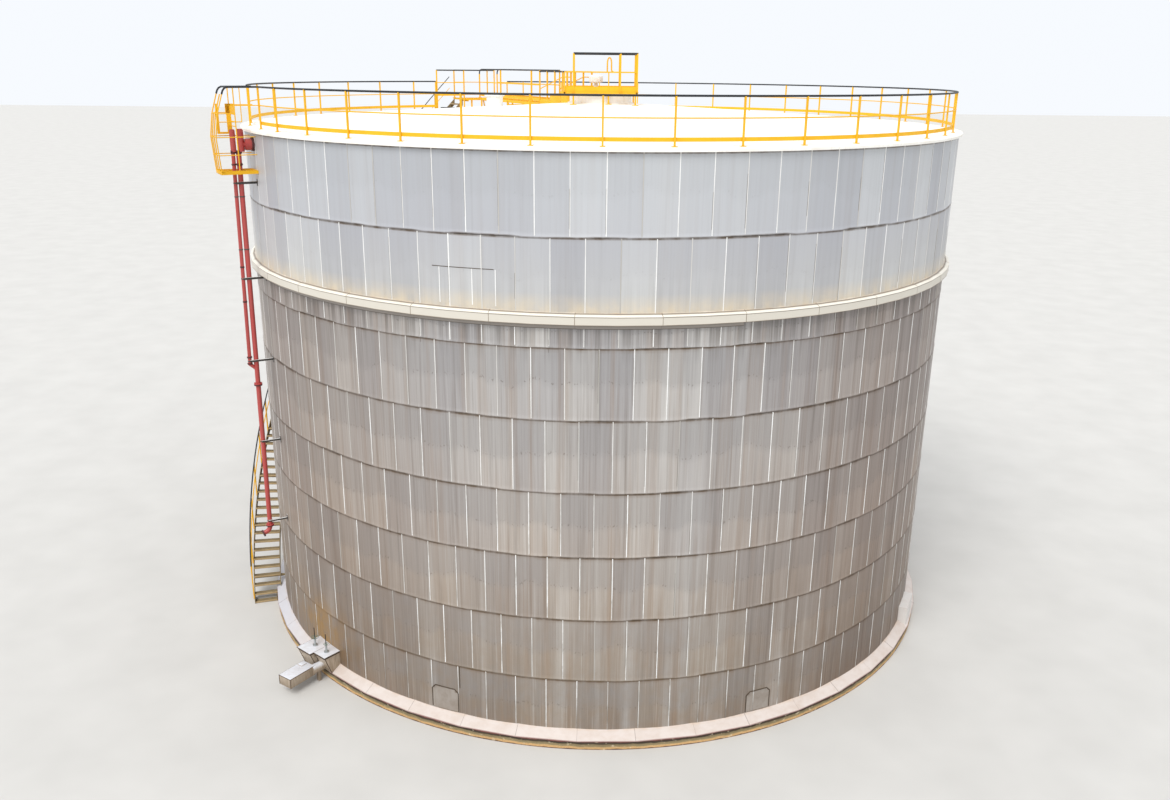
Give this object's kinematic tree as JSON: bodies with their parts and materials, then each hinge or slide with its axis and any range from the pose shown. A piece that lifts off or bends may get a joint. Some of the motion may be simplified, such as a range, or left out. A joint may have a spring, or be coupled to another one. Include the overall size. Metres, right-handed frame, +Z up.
{
  "type": "insulated vertical storage tank",
  "caption": "Upright cylindrical storage tank in metal cladding, with a low cone roof, railed roof edge, spiral stair, foam line, girder cover and concrete foundation.",
  "frame": {"origin": "centre of the underside of the foundation, on the tank axis at ground level", "axes": "+Z up along the tank axis, -Y towards the side that the picture shows, +X to the right of that view"},
  "size_m": [22.3556, 21.63, 16.9043],
  "materials": {
    "concrete": "rough weathered concrete, stained",
    "shell_steel": "dull primed steel plate",
    "cladding": "weathered metal cladding sheet with brown and pale streaks",
    "cream_cover": "cream painted sheet, rust stained along the joint",
    "white_sheet": "white painted sheet, lightly stained",
    "tread_steel": "tan painted steel, worn",
    "yellow_paint": "yellow paint, handrail tops black",
    "red_paint": "red paint, slightly faded",
    "galvanised": "dull galvanised steel"
  },
  "bodies": {
    "root": {"foundation": "concrete", "bottom_plate": "shell_steel", "kerb_flashing": "white_sheet", "steel_shell": "shell_steel", "cladding_course_1": "cladding", "cladding_course_2": "cladding", "cladding_course_3": "cladding", "cladding_course_4": "cladding", "cladding_course_5": "cladding", "cladding_course_6": "cladding", "cladding_course_7": "cladding", "cladding_course_8": "cladding", "cladding_course_9": "cladding", "girder_cover": "cream_cover", "roof_cone": "white_sheet", "roof_edge_trim": "white_sheet", "roof_guardrail_1": "yellow_paint", "roof_guardrail_2": "yellow_paint", "roof_guardrail_3": "yellow_paint", "roof_guardrail_4": "yellow_paint", "roof_guardrail_5": "yellow_paint", "roof_guardrail_6": "yellow_paint", "roof_guardrail_7": "yellow_paint", "stair_flight_1": "tread_steel", "stair_flight_2": "tread_steel", "stair_flight_3": "tread_steel", "stair_handrail_1": "yellow_paint", "stair_handrail_2": "yellow_paint", "stair_handrail_3": "yellow_paint", "stair_landing": "yellow_paint", "landing_guardrail": "yellow_paint", "stair_head_guardrail": "yellow_paint", "roof_walkway": "yellow_paint", "walkway_rail_left": "yellow_paint", "walkway_rail_right": "yellow_paint", "platform_drum": "white_sheet", "centre_platform": "yellow_paint", "platform_guardrail": "yellow_paint", "gauge_vent": "white_sheet", "balcony_floor": "yellow_paint", "balcony_guard": "yellow_paint", "foam_riser_large": "red_paint", "foam_riser_small": "red_paint", "foam_chamber": "red_paint", "foam_vapour_head": "red_paint", "riser_bracket_1": "galvanised", "riser_bracket_2": "galvanised", "riser_bracket_3": "galvanised", "riser_bracket_4": "galvanised", "riser_bracket_5": "galvanised", "nozzle_box": "white_sheet", "nozzle_box_small": "white_sheet", "valve_housing": "white_sheet", "kerb_hood": "white_sheet", "roof_manhole": "white_sheet"}
  },
  "joints": []
}
